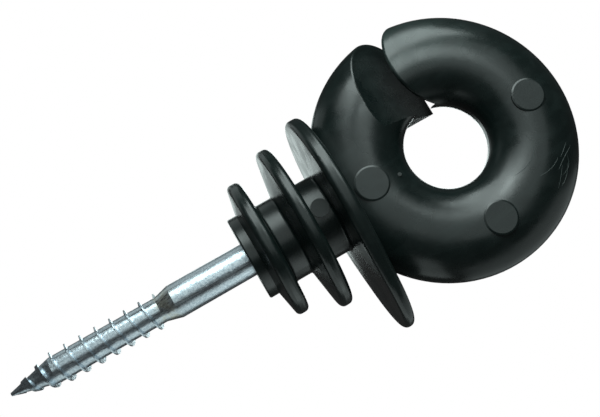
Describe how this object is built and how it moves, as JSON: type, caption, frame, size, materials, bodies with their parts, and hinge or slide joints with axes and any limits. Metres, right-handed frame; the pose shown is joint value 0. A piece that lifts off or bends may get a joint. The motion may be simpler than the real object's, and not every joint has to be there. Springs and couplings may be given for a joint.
{
  "type": "screw-in ring insulator",
  "caption": "Screw-in fence insulator: a moulded wire ring with a slanted entry slot, three rain sheds and a collar on a zinc-plated wood screw.",
  "frame": {"origin": "centre of the collar's end face, where the screw's shank enters the body", "axes": "+X along the screw's axis towards the ring, +Z the side of the ring that the wire slot opens on, -Y the side with the ejector-pin discs"},
  "size_m": [0.1077, 0.0332, 0.049],
  "materials": {
    "moulded_plastic": "black injection-moulded polyethylene, satin to gloss",
    "zinc_steel": "bright zinc-plated rolled steel"
  },
  "bodies": {
    "root": {"insulator_body": "moulded_plastic", "wood_screw": "zinc_steel"}
  },
  "joints": []
}
